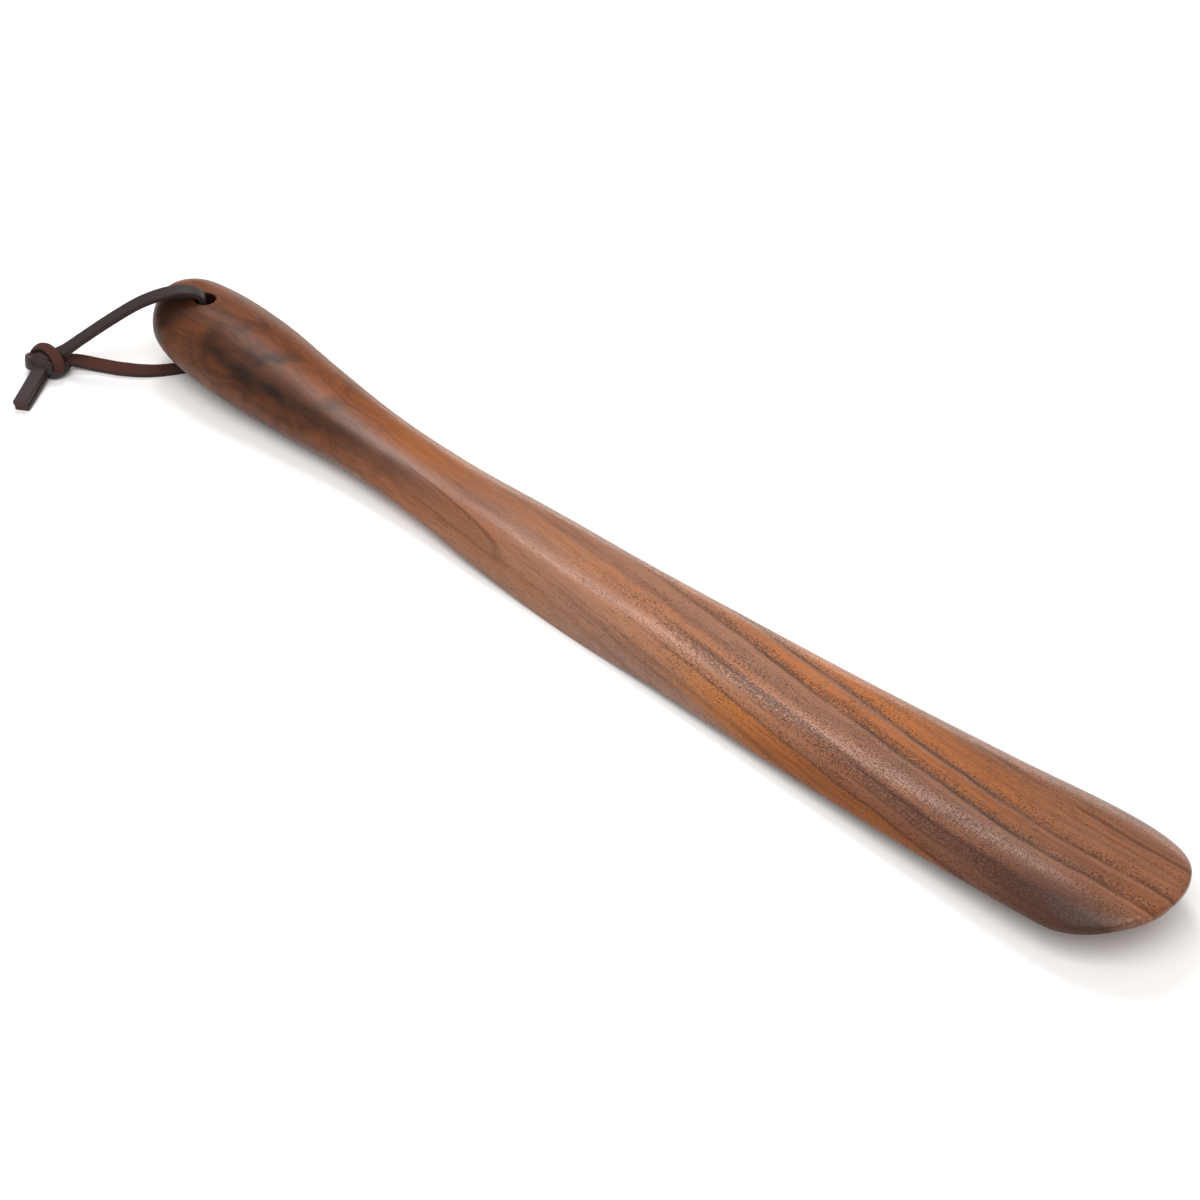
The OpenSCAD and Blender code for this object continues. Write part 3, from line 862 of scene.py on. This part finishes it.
        slanted = self.mul_add(self.sub(self.x, LOOP_X), LOOP_SLANT, self.y)
        loop = self.length(self.mul(self.sub(self.bent_x, LOOP_X), 1 / LOOP_LONG),
                           self.mul(self.sub(slanted, LOOP_Y), 1 / LOOP_WIDE))
        inner = self.mul(self.step(loop, 0.8, 1.1, 0.32, 0.0), self.upper)
        rim = self.mul(self.step(loop, 0.86, 1.0), self.step(loop, 1.0, 1.30, 0.6, 0.0))
        rim = self.mul(self.mul(rim, self.upper), self.step(self.x, 105, 130))
        return self.mix(self.largest([inner, rim]), colour, LOOP_BROWN)

    def deepened_with_painted_light(self, colour):
        """Handle and tip of darker wood, then painted light: a warm tint on the handle, a cool
        tint and painted shade on the near flank, painted shade on the blade's near edge and the
        tip's near corner, and the hole painted nearly black, as painted shade over end grain that
        is darker too.
        """
        light = self.curve(self.share, LIGHTNESS)
        light = self.node("CombineColor", Red=self.math("POWER", light, 0.92), Green=light,
                          Blue=light)
        colour = self.mix(1.0, colour, light, "MULTIPLY")
        x, y = self.x, self.y
        # Painted light: a warm tint over the handle, strongest on its top side.
        warm = self.mul(self.step(x, 60, 120, 0.8, 0.0), self.step(y, -10, -4, 0.7, 1.0))
        colour = self.mix(warm, colour, PAINTED_WARM_LIGHT, "MULTIPLY")
        # Painted light: a cool, greyer tint for the sheen on the near flank of the neck and
        # blade.
        middle = self.mul(self.step(x, 120, 155), self.step(x, 235, 280, 1.0, 0.0))
        flank = self.mul(middle, self.step(y, -13, -6, 1.0, 0.0))
        colour = self.mix(flank, colour, PAINTED_COOL_LIGHT, "MULTIPLY")
        # Painted shade on the low near flank of the neck and blade.
        shade = self.mul(self.step(x, 125, 160), self.step(y, -18.0, -11.0, 0.35, 0.0))
        colour = self.mix(shade, colour, SHADE_TINT, "MULTIPLY")
        # Painted shade along the blade's near edge.
        edge = self.mul(self.step(x, 240, 290), self.step(y, -20.0, -13.5, 0.45, 0.0))
        colour = self.mix(edge, colour, EDGE_SHADE)
        # Painted shade on the near corner of the tip, where it curls down.
        tip = self.mul(self.step(x, 330, 372), self.step(y, -19.0, -11.0, 0.7, 0.0))
        colour = self.mix(tip, colour, TIP_SHADE)
        # The drilled hole is painted nearly black inside: painted shade in the recess, on end
        # grain that is darker too.
        from_axis = self.length(self.sub(x, HOLE_X), y)
        return self.mix(self.step(from_axis, 3.3, 3.9, 0.9, 0.0), colour, HOLE_GRAIN_AND_SHADE)

    def pores(self):
        """Small dots and short dashes, crowded above each strong line."""
        dots = self.field((self.x, 1.5), (self.lat, 3.2), (self.z, 2.8), detail=1.5)
        lat = self.lat
        crowd = self.add(self.mul(self.step(lat, -0.3, 0.5), self.step(lat, 1.0, 4.6, 0.16, 0.0)),
                         self.mul(self.step(lat, 6.4, 7.2), self.step(lat, 7.6, 11.0, 0.12, 0.0)))
        for low, high, much in PORE_BANDS:
            crowd = self.add(crowd, self.band(low, high, 0.8, much))
        area = self.field((self.x, 0.04), (self.y, 0.12), 1.0)
        crowd = self.add(crowd, self.mul_add(area, 0.20, -0.07))
        # Fewer on the handle.
        crowd = self.mul_add(self.handle, -0.2, self.mul(crowd, self.step(self.x, 170, 250)))
        return self.step(self.add(dots, crowd), 0.61, 0.70)

    def painted(self):
        """The finished material."""
        colour = self.deepened_with_painted_light(self.figured_and_shaded(self.lined(self.plain())))
        pore = self.pores()
        colour = self.mix(self.mul(pore, 0.70), colour, PORE_BLACK)
        rough = self.mul_add(self.fibre, 0.12, self.step(self.x, 55, 120, 0.37, 0.21))
        rough = self.mul_add(pore, 0.12, rough)
        bump = self.bump(self.sub(self.mul(self.fibre, 0.35), pore), 0.2, 0.0001)
        return self.finish(Base_Color=colour, Roughness=rough, Normal=bump,
                           Specular_IOR_Level=0.18, Coat_Weight=0.03, Coat_Roughness=0.2)


def add_body():
    points, faces = body_mesh()
    body = mesh_object("walnut_shoehorn", points, faces)
    body.data.materials.append(Walnut().painted())
    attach(body, "shoehorn")
    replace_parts(body, "walnut_body")


add_body()


# ---------------------------------------------------------------- floor and light

FLOOR_HALF = 3000
FLOOR_COLOUR = (0.88, 0.875, 0.87, 1)
WORLD_COLOUR, WORLD_STRENGTH = (1.0, 0.975, 0.95, 1), 0.45
# Place and size in metres, power in watts, colour.
LIGHTS = {
    "softbox": ((-0.60, 0.40, 1.08), (0.32, 0.52), 6.2, (1, 1, 1)),
    "overhead": ((0.35, -0.62, 1.3), (1.6, 1.2), 21, (1, 1, 1)),
    "back_panel": ((-0.85, 1.30, 0.09), (2.2, 0.14), 4.3, (1.0, 0.95, 0.88)),
}


def add_floor():
    s = FLOOR_HALF
    corners = [(-s, -s, 0), (s, -s, 0), (s, s, 0), (-s, s, 0)]
    floor = mesh_object("floor", corners, [(0, 1, 2, 3)], False)
    floor.data.materials.append(
        Graph("floor").finish(Base_Color=FLOOR_COLOUR, Roughness=0.62, Specular_IOR_Level=0.25))


def add_light(name, place, size, power, colour):
    """A soft rectangle that faces the middle of the object, the first side of size level."""
    data = bpy.data.lights.new(name, "AREA")
    data.shape = "RECTANGLE"
    data.size, data.size_y = size
    data.energy = power
    data.color = colour
    light = bpy.data.objects.new(name, data)
    light.location = place
    light.rotation_euler = (-Vector(place)).to_track_quat("-Z", "Y").to_euler()
    scene.collection.objects.link(light)


def add_light_set():
    world = bpy.data.worlds.new("studio")
    world.use_nodes = True
    background = world.node_tree.nodes["Background"]
    background.inputs["Color"].default_value = WORLD_COLOUR
    background.inputs["Strength"].default_value = WORLD_STRENGTH
    scene.world = world
    for name, values in LIGHTS.items():
        add_light(name, *values)
    scene.view_settings.view_transform = "Standard"


add_floor()
add_light_set()
